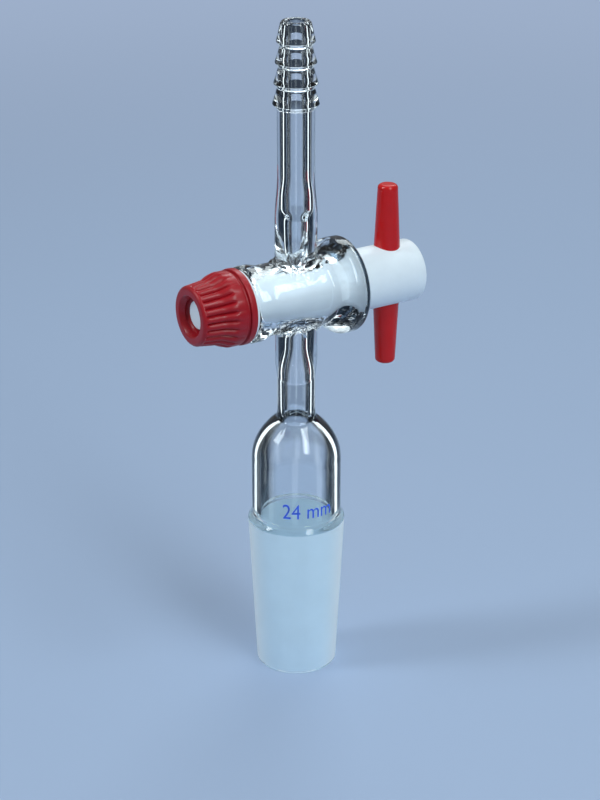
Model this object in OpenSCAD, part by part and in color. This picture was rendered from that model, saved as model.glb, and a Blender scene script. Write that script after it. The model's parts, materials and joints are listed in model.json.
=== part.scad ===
// Straight glass stopcock: a ground cone below, a hose end above, and a
// tapered plug across the middle that is drawn in by a nut on its tail.
// Millimetres. Z is the flow line, with zero at the foot of the cone.
// X is the barrel's line: the handle is at +X and the nut at -X.

/* [Ground cone] */
// Diameter of the ground cone at its top
cone_d = 24; // [18:0.5:30]
// Length of the ground cone
cone_len = 40; // [30:1:50]
// Length over which the cone's diameter falls by one
cone_taper = 10; // [8:0.5:14]
// Thickness of the glass in the cone and the body
cone_wall = 2.1; // [1.4:0.1:3]
// Radius of the melted rim at the foot
rim_r = 0.8; // [0.4:0.1:1]
// Height of the rounded step from the cone to the body
step_h = 1.8; // [1:0.1:6]

/* [Body] */
// Outside diameter of the body
body_d = 22; // [16:0.5:26]
// Height of the straight body above the cone
body_h = 16; // [8:0.5:30]
// Height of the dome that closes the body
dome_h = 10.9; // [9:0.1:14]
// Height on the dome at which its slope would meet the body's wall
shoulder_h = 6.4; // [5:0.1:7.4]

/* [Neck] */
// Outside diameter of the neck
neck_d = 9.2; // [8.6:0.1:11]
// Bore of the neck
neck_bore = 6; // [5.6:0.1:6.6]
// Height of the straight neck
neck_h = 7.6; // [4:0.1:30]
// Height of the hollow that runs from the dome's top to the neck
neck_flare_h = 2.5; // [1:0.1:4]
// Width of that hollow, measured along a radius
neck_flare_w = 0.7; // [0.4:0.1:1.6]

/* [Barrel] */
// Outside diameter at the middle of the barrel
barrel_d = 17; // [16.4:0.1:19]
// Distance from the flow line to the barrel's nut end
nut_end = 15.2; // [13:0.1:20]
// Distance from the flow line to the barrel's handle end
handle_end = 14; // [12.5:0.1:20]
// Outside diameter of the lip at the nut end
nut_lip_d = 18.6; // [17.6:0.1:20]
// Length of the full lip at the nut end
nut_lip_len = 2.4; // [1.6:0.1:4]
// Length over which the barrel swells into the lip
nut_lip_fade = 3.6; // [2:0.1:5]
// Outside diameter of the collar at the handle end
collar_d = 23.6; // [20:0.1:26]
// Length of the full collar at the handle end
collar_len = 3.2; // [2.6:0.1:5]
// Length over which the barrel swells into the collar
flare_len = 5.8; // [4:0.1:8]
// Radius of the melted edges of the barrel
edge_r = 1.1; // [0.5:0.1:1.3]

/* [Side stubs] */
// Outside diameter of the stubs that are sealed to the barrel
stub_d = 10.2; // [9.6:0.1:11.4]
// Distance from the barrel's axis to the end of each stub
stub_reach = 19.5; // [16:0.5:24]
// Width of the melted fillet where a stub meets the barrel
seal_w = 2.2; // [1.4:0.1:2.6]
// Length of the seal between a stub and the next tube
seal_len = 5; // [3:0.5:8]
// Bore at the outer end of each stub
stub_bore = 5; // [4.2:0.1:5.6]

/* [Hose end] */
// Outside diameter of the hose tube
hose_d = 8.9; // [8:0.1:10]
// Bore of the hose tube
hose_bore = 4.5; // [3.6:0.1:5.2]
// Bore of the swelling above the upper seal
swell_bore = 5.6; // [5.3:0.1:6.4]
// Height of the hose tube between its seal and the lowest barb
hose_h = 21; // [14:0.1:40]
// Number of barbs
barb_count = 4; // [2:1:6]
// Height of one barb
barb_pitch = 4.85; // [3.6:0.05:7]
// Largest diameter of the lowest barb
barb_low_d = 11.1; // [10:0.1:13]
// Largest diameter of the highest barb
barb_top_d = 9.2; // [8.4:0.1:10]
// Depth of the step under each barb
barb_step = 0.85; // [0.4:0.05:1.1]
// Height of the undercut below each barb
barb_under = 1.1; // [0.5:0.1:1.6]
// Diameter at the tip
tip_d = 6.2; // [5.6:0.1:7]
// Edge that is melted off the tip
tip_edge = 0.5; // [0.2:0.1:0.8]

/* [Plug] */
// Diameter of the barrel's bore at the flow line
seat_d = 12.5; // [12:0.1:13.4]
// Length over which the seat's diameter falls by one
seat_taper = 5; // [4.6:0.1:8]
// Gap between the plug and its seat, on the radius
seat_gap = 0.05; // [0.02:0.01:0.1]
// Bore through the plug and at the seat
flow_bore = 2; // [1.5:0.1:4]
// Length of the plug's head outside the barrel
head_len = 19; // [16:0.5:26]
// Radius of the head's outer edge
head_edge = 0.7; // [0.3:0.1:1.5]
// Diameter of the threaded tail
tail_d = 8; // [6.6:0.1:8.4]
// Width across the tail's two flats
tail_flats = 6.8; // [5.6:0.1:7.4]
// Length of the tail beyond the washer
tail_len = 11.4; // [9:0.1:16]
// Chamfer at the tail's end
tail_edge = 0.7; // [0.3:0.1:1.2]
// Length by which the taper stops short of the barrel's nut end
draw_in = 0.6; // [0.3:0.1:2]

/* [Handle] */
// Distance from the barrel's end to the handle's line
handle_off = 12; // [8:0.1:15]
// Distance from the barrel's axis to each tip
arm_reach = 23; // [16:0.5:32]
// Diameter of an arm at the plug's head
arm_root_d = 7.1; // [5.6:0.1:8]
// Diameter of an arm at its tip
arm_tip_d = 5; // [4:0.1:5.6]
// Radius of the edge at each tip
arm_edge = 1; // [0.4:0.1:1.6]
// Diameter of the bar that joins the arms through the head
bar_d = 4.6; // [3.6:0.1:5.2]
// Gap between the bar and its hole, on the radius
bar_gap = 0.02; // [0.01:0.01:0.1]

/* [Washer and ring] */
// Thickness of the washer
washer_t = 0.6; // [0.6:0.1:2]
// Diameter of the washer
washer_d = 17.2; // [14:0.1:17.8]
// Gap between the washer's hole and the tail
washer_gap = 0.05; // [0.03:0.01:0.2]
// Section diameter of the sealing ring
ring_t = 1.8; // [1.4:0.1:2.4]
// Gap around the sealing ring
ring_gap = 0.05; // [0.03:0.01:0.15]

/* [Nut] */
// Length of the nut
nut_len = 13.3; // [12.4:0.1:18]
// Diameter of the flange next to the washer
flange_d = 18.4; // [17.6:0.1:21]
// Thickness of the flange
flange_t = 1.7; // [1.2:0.1:2.4]
// Depth of the groove in front of the flange
groove_depth = 0.5; // [0.2:0.1:1]
// Width of that groove
groove_w = 0.7; // [0.4:0.1:1.2]
// Diameter of the smooth band behind the ribs
grip_d = 18; // [17:0.1:20]
// Width of that band, with the ends of the ribs
band_w = 2.2; // [1.4:0.1:3]
// Length over which the ribs curve in from the band
waist_len = 4.4; // [2.4:0.1:5]
// Diameter of the ribs in front of that curve
waist_d = 15.4; // [14.8:0.1:16.6]
// Diameter of the ribs at the narrow end
nose_d = 14.5; // [13.6:0.1:16.4]
// Number of ribs
rib_count = 24; // [14:1:32]
// Height of the ribs
rib_h = 0.45; // [0.2:0.05:0.7]
// Share of the pitch that a rib takes up
rib_share = 0.56; // [0.4:0.02:0.7]
// Gap between the tail and the nut's bore, on the radius
thread_gap = 0.1; // [0.05:0.01:0.2]
// Diameter of the countersink at the nose
mouth_d = 10.2; // [9:0.1:11]
// Depth of that countersink
mouth_depth = 1.2; // [0.6:0.1:2]
// Radius of the nose's outer edge
nose_edge = 0.9; // [0.5:0.1:1.2]
// Chamfer on the flange and the band
flange_edge = 0.3; // [0.1:0.1:0.5]
// Gap between the nut and the washer
nut_gap = 0.1; // [0.1:0.05:0.5]

/* [Hidden] */
$fn = 96;

// Steps along each curve of an outline
curve_steps = 8;
// Overlap of a cutter past the face that it opens
cut = 1;

// Short length over which a bore steps at a seal
bore_step = 1;

cone_top_r = cone_d / 2;
cone_foot_r = cone_top_r - cone_len / cone_taper / 2;
body_r = body_d / 2;
neck_r = neck_d / 2;
stub_r = stub_d / 2;
barrel_r = barrel_d / 2;

// Heights along the flow line
dome_z = cone_len + body_h;
neck_z = dome_z + dome_h + neck_flare_h;
low_seal_z = neck_z + neck_h + seal_len / 2;
barrel_z = low_seal_z + stub_reach;
high_seal_z = barrel_z + stub_reach;
hose_z = high_seal_z + seal_len;
barbs_z = hose_z + hose_h + barb_under;
tip_z = barbs_z + barb_count * barb_pitch;

// Distances along the barrel
head_r = seat_r(handle_end) - seat_gap;
head_end = handle_end + head_len;
handle_x = handle_end + handle_off;
tail_start = nut_end + washer_t;
tail_end = tail_start + tail_len;
taper_stop = nut_end - draw_in;
nut_start = tail_start + nut_gap;
ring_mid_r = tail_d / 2 + ring_gap + ring_t / 2;

// Radius of the tapered seat at a distance x from the flow line
function seat_r(x) = (seat_d + x / seat_taper) / 2;

// Points on a circular arc, or on an ellipse if the radii differ
function arc(centre, radii, from, to) = [for (i = [0:curve_steps])
    let (a = from + (to - from) * i / curve_steps)
    [centre[0] + radii[0] * cos(a), centre[1] + radii[1] * sin(a)]];

// Points on an S-shaped swelling from one outline point to another
function swell(p, q) = [for (i = [0:curve_steps])
    let (t = i / curve_steps)
    [p[0] + (q[0] - p[0]) * (1 - cos(180 * t)) / 2, p[1] + (q[1] - p[1]) * t]];

// Points on a quadratic curve that leaves p and reaches q along the lines to c
function bend(p, c, q) = [for (i = [0:curve_steps]) bend_at(p, c, q, i / curve_steps)];
function bend_at(p, c, q, t) = (1 - t) * (1 - t) * p + 2 * t * (1 - t) * c + t * t * q;

// A solid turned about Z from an outline of [radius, height] points
module turned(outline) rotate_extrude() polygon(outline);

// Lays a solid that was turned about Z along the barrel, with +Z towards the handle
module along_barrel() translate([0, 0, barrel_z]) rotate([0, 90, 0]) children();

// The dome's top edge, where the neck's hollow begins, and its slope there
dome_edge = [neck_r + neck_flare_w, dome_z + dome_h];
dome_slope = (dome_h - shoulder_h) / (body_r - dome_edge[0]);

lower_outline = concat(
    [[0, 0]],
    arc([cone_foot_r - rim_r, rim_r], [rim_r, rim_r], -90, 0),
    swell([cone_top_r, cone_len], [body_r, cone_len + step_h]),
    bend([body_r, dome_z], [body_r, dome_z + shoulder_h], dome_edge),
    bend(dome_edge, [neck_r, dome_edge[1] + neck_flare_w * dome_slope], [neck_r, neck_z]),
    swell([neck_r, low_seal_z - seal_len / 2], [stub_r, low_seal_z + seal_len / 2]),
    [[stub_r, barrel_z], [0, barrel_z]]);

// Largest radius of a barb, counted from the lowest
function barb_r(k) = (barb_low_d + (barb_top_d - barb_low_d) * k / (barb_count - 1)) / 2;
// Radius at the top of a barb: the next barb's undercut, or the tip
function barb_head_r(k) = k == barb_count - 1 ? tip_d / 2 : barb_r(k + 1) - barb_step;

upper_outline = concat(
    [[0, barrel_z], [stub_r, barrel_z]],
    swell([stub_r, high_seal_z - bore_step], [hose_d / 2, hose_z + seal_len]),
    [[hose_d / 2, barbs_z - barb_under]],
    [for (k = [0:barb_count - 1], i = [0, 1])
        i == 0 ? [barb_r(k), barbs_z + k * barb_pitch]
               : [barb_head_r(k) + (k == barb_count - 1 ? tip_edge : 0),
                  barbs_z + (k + 1) * barb_pitch - (k == barb_count - 1 ? tip_edge : barb_under)]],
    [[tip_d / 2, tip_z], [0, tip_z]]);

barrel_outline = concat(
    [[0, -nut_end]],
    arc([nut_lip_d / 2 - edge_r, edge_r - nut_end], [edge_r, edge_r], -90, 0),
    swell([nut_lip_d / 2, nut_lip_len - nut_end], [barrel_r, nut_lip_len + nut_lip_fade - nut_end]),
    swell([barrel_r, handle_end - collar_len - flare_len], [collar_d / 2, handle_end - collar_len]),
    arc([collar_d / 2 - edge_r, handle_end - edge_r], [edge_r, edge_r], 0, 90),
    [[0, handle_end]]);

// A point one wall under the dome's slope, at a distance r from the flow line
function under_slope(r) = [r, dome_edge[1] + (dome_edge[0] - r) * dome_slope
    - cone_wall * sqrt(1 + dome_slope * dome_slope)];

// The hollow of the cone, the body and the neck, up to the seat
inner_r = body_r - cone_wall;
inner_edge = under_slope(neck_bore / 2 + neck_flare_w);
lower_hollow = concat(
    [[0, -cut], [cone_foot_r - cone_wall + rim_r + cut, -cut]],
    bend([cone_foot_r - cone_wall + rim_r / 2, 0], [cone_foot_r - cone_wall, 0],
         [cone_foot_r - cone_wall + rim_r / cone_taper / 2, rim_r]),
    swell([cone_top_r - cone_wall, cone_len], [inner_r, cone_len + step_h]),
    bend([inner_r, dome_z], under_slope(inner_r), inner_edge),
    bend(inner_edge, under_slope(neck_bore / 2), [neck_bore / 2, neck_z]),
    [[neck_bore / 2, low_seal_z - bore_step], [stub_bore / 2, low_seal_z],
     [flow_bore / 2, barrel_z - seat_d / 2], [flow_bore / 2, barrel_z], [0, barrel_z]]);

// The bore from the seat through the upper stub and the hose tube
upper_hollow = concat(
    [[0, barrel_z], [flow_bore / 2, barrel_z], [flow_bore / 2, barrel_z + seat_d / 2],
     [stub_bore / 2, high_seal_z], [swell_bore / 2, high_seal_z + bore_step]],
    swell([swell_bore / 2, hose_z - bore_step], [hose_bore / 2, hose_z + seal_len]),
    [[hose_bore / 2, tip_z + cut], [0, tip_z + cut]]);

seat_hollow = [[0, -nut_end - cut], [seat_r(-nut_end - cut), -nut_end - cut],
    [seat_r(handle_end + cut), handle_end + cut], [0, handle_end + cut]];

// The melted fillet between a stub and the barrel. It stands on +Z: each ring
// of points runs down the stub's wall and out along the barrel's round back.
seal_sides = 40;
seal_rings = 7;
seal_sink = 0.12;
function barrel_back(rho, a) = sqrt(pow(barrel_r, 2) - pow(rho * sin(a), 2));
function seal_point(t, a) =
    let (wall = bend_at([stub_r - seal_sink, barrel_back(stub_r, a) + seal_w],
                        [stub_r, barrel_back(stub_r, a)],
                        [stub_r + seal_w, barrel_back(stub_r + seal_w, a) - seal_sink], t))
    [wall[0] * cos(a), wall[0] * sin(a), wall[1]];

module seal_fillet() {
    top = len(seal_ring_points);
    polyhedron(
        points = concat(seal_ring_points, [[0, 0, barrel_r + seal_w], [0, 0, barrel_r / 3]]),
        faces = concat(
            [for (i = [0:seal_rings - 1], j = [0:seal_sides - 1])
                let (k = (j + 1) % seal_sides)
                [i * seal_sides + j, i * seal_sides + k, (i + 1) * seal_sides + k]],
            [for (i = [0:seal_rings - 1], j = [0:seal_sides - 1])
                let (k = (j + 1) % seal_sides)
                [i * seal_sides + j, (i + 1) * seal_sides + k, (i + 1) * seal_sides + j]],
            [for (j = [0:seal_sides - 1]) [top, (j + 1) % seal_sides, j]],
            [for (j = [0:seal_sides - 1])
                [top + 1, seal_rings * seal_sides + j, seal_rings * seal_sides + (j + 1) % seal_sides]]));
}
seal_ring_points = [for (i = [0:seal_rings], j = [0:seal_sides - 1])
    seal_point(i / seal_rings, 360 * j / seal_sides)];

// Cone, body, neck, barrel and hose end: one piece of melted glass
module glass_body() color([0.82, 0.9, 0.95, 0.4]) difference() {
    union() {
        turned(lower_outline);
        turned(upper_outline);
        along_barrel() turned(barrel_outline);
        translate([0, 0, barrel_z]) {
            seal_fillet();
            mirror([0, 0, 1]) seal_fillet();
        }
    }
    turned(lower_hollow);
    turned(upper_hollow);
    along_barrel() turned(seat_hollow);
}

// The tapered plug with its head, its threaded tail and its flow bore
plug_outline = concat(
    [[0, -tail_end], [tail_d / 2 - tail_edge, -tail_end], [tail_d / 2, tail_edge - tail_end],
     [tail_d / 2, -taper_stop], [seat_r(-taper_stop) - seat_gap, -taper_stop],
     [head_r, handle_end]],
    arc([head_r - head_edge, head_end - head_edge], [head_edge, head_edge], 0, 90),
    [[0, head_end]]);

module tail_flat(side) translate([-tail_end - cut, side * tail_flats / 2, barrel_z - tail_d])
    mirror([0, side < 0 ? 1 : 0, 0]) cube([tail_end + cut - taper_stop, tail_d, 2 * tail_d]);

module stopcock_plug() color([0.94, 0.95, 0.95]) difference() {
    along_barrel() turned(plug_outline);
    translate([0, 0, barrel_z - seat_d]) cylinder(d = flow_bore, h = 2 * seat_d);
    translate([handle_x, 0, barrel_z - 2 * head_r]) cylinder(d = bar_d, h = 4 * head_r);
    tail_flat(1);
    tail_flat(-1);
}

// Two tapered arms in one moulding, joined by a bar through the plug's head
arm_outline = concat(
    [[0, 0], [arm_root_d / 2, 0]],
    arc([arm_tip_d / 2 - arm_edge, arm_reach - arm_edge], [arm_edge, arm_edge], 0, 90),
    [[0, arm_reach]]);

module handle() color([0.72, 0.06, 0.07]) translate([0, 0, barrel_z]) {
    difference() {
        translate([handle_x, 0, 0]) {
            turned(arm_outline);
            mirror([0, 0, 1]) turned(arm_outline);
        }
        rotate([0, 90, 0]) cylinder(r = head_r + bar_gap, h = 2 * head_end);
    }
    translate([handle_x, 0, -head_r - cut / 2]) cylinder(d = bar_d - 2 * bar_gap, h = 2 * head_r + cut);
}

// A flat washer with a two-flatted hole, so that it turns with the plug
module washer() color([0.94, 0.95, 0.95]) difference() {
    along_barrel() translate([0, 0, -tail_start]) cylinder(d = washer_d, h = washer_t);
    intersection() {
        along_barrel() translate([0, 0, -tail_start - cut])
            cylinder(d = tail_d + 2 * washer_gap, h = washer_t + 2 * cut);
        translate([-tail_start - cut, -tail_flats / 2 - washer_gap, barrel_z - tail_d])
            cube([washer_t + 2 * cut, tail_flats + 2 * washer_gap, 2 * tail_d]);
    }
}

// A rubber ring that sits in the nut and presses on the washer
module sealing_ring() color([0.08, 0.08, 0.09])
    along_barrel() translate([0, 0, -tail_start - ring_gap - ring_t / 2])
        rotate_extrude() translate([ring_mid_r, 0]) circle(d = ring_t);

// Outline of the nut from its flange, at zero, to its nose. The ribs stand
// rib_h proud of the floors between them.
band_start = flange_t + groove_w;
band_end = band_start + band_w;
waist_end = band_end + waist_len;
function nut_outline(drop) = concat(
    [[0, 0], [flange_d / 2 - flange_edge, 0], [flange_d / 2, flange_edge], [flange_d / 2, flange_t],
     [grip_d / 2 - groove_depth, flange_t], [grip_d / 2 - groove_depth, band_start],
     [grip_d / 2, band_start + flange_edge], [grip_d / 2, band_start + band_w / 2]],
    swell([grip_d / 2 - drop, band_end], [waist_d / 2 - drop, waist_end]),
    [[nose_d / 2 - drop, nut_len - 2 * nose_edge]],
    arc([nose_d / 2 - nose_edge, nut_len - nose_edge], [nose_edge, nose_edge], 0, 90),
    [[0, nut_len]]);

ring_seat_r = ring_mid_r + ring_t / 2 + ring_gap;
ring_seat_depth = ring_t + 2 * ring_gap - nut_gap;
thread_r = tail_d / 2 + thread_gap;
nut_hollow = [[0, -cut], [ring_seat_r, -cut], [ring_seat_r, ring_seat_depth],
    [thread_r, ring_seat_depth], [thread_r, nut_len - mouth_depth],
    [mouth_d / 2, nut_len], [mouth_d / 2, nut_len + cut], [0, nut_len + cut]];

// The wedges that part the ribs from each other
module rib_wedges() linear_extrude(nut_len)
    for (k = [0:rib_count - 1]) rotate(360 * k / rib_count)
        polygon([[0, 0],
            flange_d * [cos(180 * rib_share / rib_count), -sin(180 * rib_share / rib_count)],
            flange_d * [cos(180 * rib_share / rib_count), sin(180 * rib_share / rib_count)]]);

module tension_nut() color([0.62, 0.05, 0.07])
    translate([-nut_start, 0, barrel_z]) rotate([0, -90, 0]) difference() {
        union() {
            turned(nut_outline(rib_h));
            intersection() {
                turned(nut_outline(0));
                rib_wedges();
            }
        }
        turned(nut_hollow);
    }

glass_body();
stopcock_plug();
handle();
washer();
sealing_ring();
tension_nut();
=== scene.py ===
"""A straight glass stopcock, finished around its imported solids.

The glass, the plug, the handle and the nut are turned again with finer curves,
melted seals and a real thread, and every piece gets its finish. Lengths are in
metres. Z is the flow line, X is the barrel's line, and the handle is at +X.
"""

import json
import math
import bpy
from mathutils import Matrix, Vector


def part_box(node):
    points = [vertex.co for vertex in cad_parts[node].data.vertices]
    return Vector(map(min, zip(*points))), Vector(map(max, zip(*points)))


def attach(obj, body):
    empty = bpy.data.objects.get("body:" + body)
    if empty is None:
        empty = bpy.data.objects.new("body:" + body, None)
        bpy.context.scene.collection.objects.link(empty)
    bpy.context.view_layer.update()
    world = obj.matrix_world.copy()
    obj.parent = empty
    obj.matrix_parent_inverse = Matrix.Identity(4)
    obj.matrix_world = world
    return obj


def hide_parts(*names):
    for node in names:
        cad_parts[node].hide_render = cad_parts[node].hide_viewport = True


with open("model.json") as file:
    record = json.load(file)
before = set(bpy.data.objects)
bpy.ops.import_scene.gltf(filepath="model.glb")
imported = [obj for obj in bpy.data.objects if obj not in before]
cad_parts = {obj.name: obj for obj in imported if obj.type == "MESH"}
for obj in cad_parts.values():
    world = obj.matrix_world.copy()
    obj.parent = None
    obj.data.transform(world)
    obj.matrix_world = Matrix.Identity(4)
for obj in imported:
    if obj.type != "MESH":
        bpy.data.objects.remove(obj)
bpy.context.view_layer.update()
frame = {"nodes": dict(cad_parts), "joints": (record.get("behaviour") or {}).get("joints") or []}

from types import SimpleNamespace

import bmesh
import bpy
from bpy.props import (
    FloatProperty,
    FloatVectorProperty,
    IntProperty,
    PointerProperty,
    StringProperty,
)
from bpy.types import Operator, Panel, PropertyGroup
from mathutils import Matrix, Quaternion, Vector, noise

bl_info = {
    "name": "Glass Stopcock",
    "version": (1, 0, 0),
    "blender": (4, 5, 0),
    "location": "View3D > Sidebar > Stopcock",
    "description": "Builds the finished pieces of a glass stopcock around its packed solids",
    "category": "Add Mesh",
}

MM = 0.001

# Steps along each curve of an outline, and round each small corner
CURVE_STEPS = 20
CORNER_STEPS = 5
# Most of a side that the rounding of a corner may take
CORNER_SHARE = 0.45
# Sides of the turned pieces, and of plain rods
GLASS_SIDES = 144
PLUG_SIDES = 120
ARM_SIDES = 64
ROD_SIDES = 48
SIDES_PER_RIB = 12
# Widest spacing of points along lines that are shaped again later
BARREL_SPACING = 0.5 * MM
TAIL_SPACING = 0.12 * MM
RIB_SPACING = 0.3 * MM
NUT_THREAD_SPACING = 0.18 * MM
LETTER_SPACING = 0.5 * MM
# Points nearer than this are one point, and points within the slack lie on one surface
MERGE = 1e-7
SLACK = 10 * MERGE
# Overlap of a cutter past the face that it opens
CUT = 1 * MM
# Rounding of the small edges of the plug and the nut
SOFT_EDGE = 0.25 * MM
# Edges sharper than this are not smoothed over
SHARP_ANGLE = math.radians(38)

# Waves of melted glass, each with its waves in a metre and its height
RIPPLES = ((380, 1.0), (1050, 0.8), (1900, 0.4))
# Reach of the flame's heat: up and down at the neck, then along and across the barrel
NECK_HEAT = 1.4 * MM
BARREL_HEAT_X = 11 * MM
BARREL_HEAT_Y = 5.5 * MM
# The barrel's skin is what lies outside this share of its radius
BARREL_SKIN = 0.9
# Shares of a bead's height: the waves at the neck and on the barrel, and the fillets' even swelling
NECK_WAVES = 0.4
BARREL_WAVES = 0.8
FILLET_SWELLING = 0.4
# How far a fillet sinks into the stub and the barrel, and how far its root goes down
FILLET_SINK = 0.15 * MM
FILLET_ROOT = 1.2 * MM
# Shifts that give the neck, the barrel and the fillets waves of their own
NECK_SEED = 5.0
BARREL_SEED = 3.0
FILLET_SEED = 7.0

# Steepness of the thread's flanks, and the widening of the nut's thread past the tail's end
THREAD_STEEPNESS = 0.8
LEAD_IN = 0.3 * MM
# Where the nut's furrows begin, how slowly they deepen and where they end, as shares of the band and of
# the nose's edge, and how narrow they are
FURROW_START = 0.75
FURROW_RISE = 0.9
FURROW_END = 0.6
FURROW_POWER = 1.5
# Only points this far outside the nut's mouth can lie in a furrow
FURROW_MARGIN = 2 * MM
# Height of the figures as a share of the letters' size
FIGURE_SHARE = 0.7

# How strongly the glass bends light
GLASS_IOR = 1.473
# Depths of the waves in clear glass and of the fine grain in the other finishes
WAVE_DEPTH = 0.2 * MM
GRAIN_DEPTH = 0.03 * MM

# Upright strips stand round the object for glass to show from every side: soft dark ones for rays that
# went straight through a bore, crisp bright ones on dark for rays that were mirrored inside a wall.
# Each has the angle of its first strip, the angle between strips, half a strip's width and half its blur.
BORE_STRIPS = {"turn": 26, "period": 60, "edge": 14, "blur": 6}
WALL_STRIPS = {"turn": 18.5, "period": 72, "edge": 8.5, "blur": 0.8}
STRIP_DARK = (0.004, 0.01, 0.02)
STRIP_BRIGHT = (1.35, 1.53, 1.58)
# The strips fade in on the floor over these distances from the flow line, and out over these rises of a ray
STRIPS_START = (0.04, 0.08)
STRIPS_END = (0.1, 0.4)
# Rays through glass also see a faint dark ring on the floor, and a dark patch when they left the glass high
# up. The distances and heights are those over which the ring and the patch come and go.
RING_INSIDE = (0.13, 0.17)
RING_OUTSIDE = (0.21, 0.26)
RING_SHARE = 0.3
PATCH_HEIGHTS = (0.127, 0.135)
PATCH_OUTSIDE = (0.36, 0.42)
PATCH_SHARE = 0.92
# Distances over which the floor fades into the backdrop
BACKDROP_FADE = (0.25, 0.8)

# Tones of the room's even light, of the sky that rays through glass see, and of the lamps
ROOM_TONE = (0.95, 0.97, 1.0)
SKY_TONE = (0.9, 1.02, 1.05)
LAMP_TINT = (0.87, 0.965, 1.0)
# Rises of a ray over which the floor's colour goes over into the sky
SKY_RISE = (0.0, 0.12)
# Each lamp has a turn from the camera, a rise and a roll in degrees, a distance, a width and a height, and
# its share of the glow
LAMPS = (("right_lamp", (40, 46, -20), 0.8, (0.2, 0.85), 0.7),
         ("left_lamp", (-78, 44, 0), 0.8, (0.15, 0.45), 1.0),
         ("back_lamp", (165, 40, 0), 0.9, (0.5, 0.3), 0.4))
# Width of the camera's frame in millimetres
FRAME_WIDTH = 36

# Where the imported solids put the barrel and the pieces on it
BARREL_Z = frame["joints"][0]["pos_m"][2]
PLUG_LOW, PLUG_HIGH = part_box("stopcock_plug")
HANDLE_LOW, HANDLE_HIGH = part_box("handle")
NUT_LOW, NUT_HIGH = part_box("tension_nut")
HANDLE_X = (HANDLE_LOW.x + HANDLE_HIGH.x) / 2
NUT_LENGTH = NUT_HIGH.x - NUT_LOW.x


def number(name, description, default, lowest=0.0, **kind):
    """A number that isn't below its lowest value."""
    return FloatProperty(name=name, description=description, default=default, min=lowest, **kind)


def length(name, description, millimetres):
    """A length that is written in millimetres and kept in metres."""
    return number(name, description, millimetres * MM, unit="LENGTH", precision=5)


def degrees(name, description, value):
    """An angle that is written in degrees and kept in radians."""
    return FloatProperty(name=name, description=description, default=math.radians(value), subtype="ANGLE")


def colour(name, description, red, green, blue):
    """A colour in linear light."""
    return FloatVectorProperty(name=name, description=description, subtype="COLOR", size=3,
                               min=0.0, max=1.0, default=(red, green, blue))


class GlassSizes(PropertyGroup):
    cone_d: length("Cone diameter", "Diameter of the ground cone at its top", 24)
    cone_len: length("Cone length", "Length of the ground cone", 40)
    cone_taper: number("Cone taper", "Length over which the cone's diameter falls by one", 10, 5)
    cone_wall: length("Wall", "Thickness of the glass in the cone and the body", 2.1)
    rim_r: length("Rim radius", "Radius of the melted rim at the foot", 0.8)
    step_h: length("Step height", "Height of the rounded step from the cone to the body", 1.8)
    body_d: length("Body diameter", "Outside diameter of the body", 22)
    body_h: length("Body height", "Height of the straight body above the cone", 16)
    dome_h: length("Dome height", "Height of the dome that closes the body", 10.9)
    shoulder_h: length("Shoulder height", "Height where the dome's slope would meet the body's wall", 6.4)
    neck_d: length("Neck diameter", "Outside diameter of the neck", 9.2)
    neck_bore: length("Neck bore", "Bore of the neck", 6)
    neck_h: length("Neck height", "Height of the straight neck", 7.6)
    neck_flare_h: length("Neck flare height", "Height of the hollow below the neck", 2.5)
    neck_flare_w: length("Neck flare width", "Width of that hollow along a radius", 0.7)
    barrel_d: length("Barrel diameter", "Outside diameter at the middle of the barrel", 17)
    nut_end: length("Nut end", "Distance from the flow line to the barrel's nut end", 15.2)
    handle_end: length("Handle end", "Distance from the flow line to the barrel's handle end", 14)
    nut_lip_d: length("Lip diameter", "Outside diameter of the lip at the nut end", 18.6)
    nut_lip_len: length("Lip length", "Length of the full lip at the nut end", 2.4)
    nut_lip_fade: length("Lip fade", "Length over which the barrel swells into the lip", 3.6)
    collar_d: length("Collar diameter", "Outside diameter of the collar at the handle end", 23.6)
    collar_len: length("Collar length", "Length of the full collar", 3.2)
    flare_len: length("Collar flare", "Length over which the barrel swells into the collar", 5.8)
    edge_r: length("Edge radius", "Radius of the melted edges of the barrel", 1.1)
    # The collar's rim gets a painted dark band beside this width, standing in for the dark edge that the
    # glass shows there
    rim_shade_width: length("Rim line", "Width of the dark line beside the collar's rounded edge", 0.3)
    stub_d: length("Stub diameter", "Outside diameter of the side stubs", 10.2)
    stub_reach: length("Stub reach", "Distance from the barrel's axis to a stub's end", 19.5)
    seal_w: length("Seal width", "Width of the melted fillet round a stub", 2.2)
    seal_len: length("Seal length", "Length of the seal between a stub and the next tube", 5)
    seal_bead: length("Seal bead", "Height of the uneven beads in the melted seals", 0.6)
    low_bore: length("Lower stub bore", "Bore at the outer end of the lower stub", 5.6)
    throat_bore: length("Throat bore", "Bore where the lower stub narrows towards the barrel", 3.8)
    high_bore: length("Upper stub bore", "Bore at the outer end of the upper stub", 4.1)
    hose_d: length("Hose tube diameter", "Outside diameter of the hose tube", 8.9)
    hose_bore: length("Hose tube bore", "Bore of the hose tube", 4.5)
    swell_bore: length("Swelling bore", "Bore of the swelling above the upper seal", 5.4)
    hose_h: length("Hose tube height", "Height of the tube between its seal and the barbs", 21)
    barb_count: IntProperty(name="Barbs", description="Number of barbs", default=4, min=2)
    barb_pitch: length("Barb height", "Height of one barb", 4.85)
    barb_low_d: length("Lowest barb", "Largest diameter of the lowest barb", 11.1)
    barb_top_d: length("Highest barb", "Largest diameter of the highest barb", 9.2)
    barb_step: length("Barb step", "Depth of the step under each barb", 0.85)
    barb_under: length("Barb undercut", "Height of the undercut below each barb", 1.1)
    barb_round: length("Barb rounding", "Reach of the melted rounding on the barbs", 0.22)
    tip_d: length("Tip diameter", "Diameter at the tip", 6.2)
    tip_edge: length("Tip edge", "Edge that is melted off the tip", 0.5)
    bore_step: length("Bore step", "Length over which a bore steps at a seal", 1)


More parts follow.
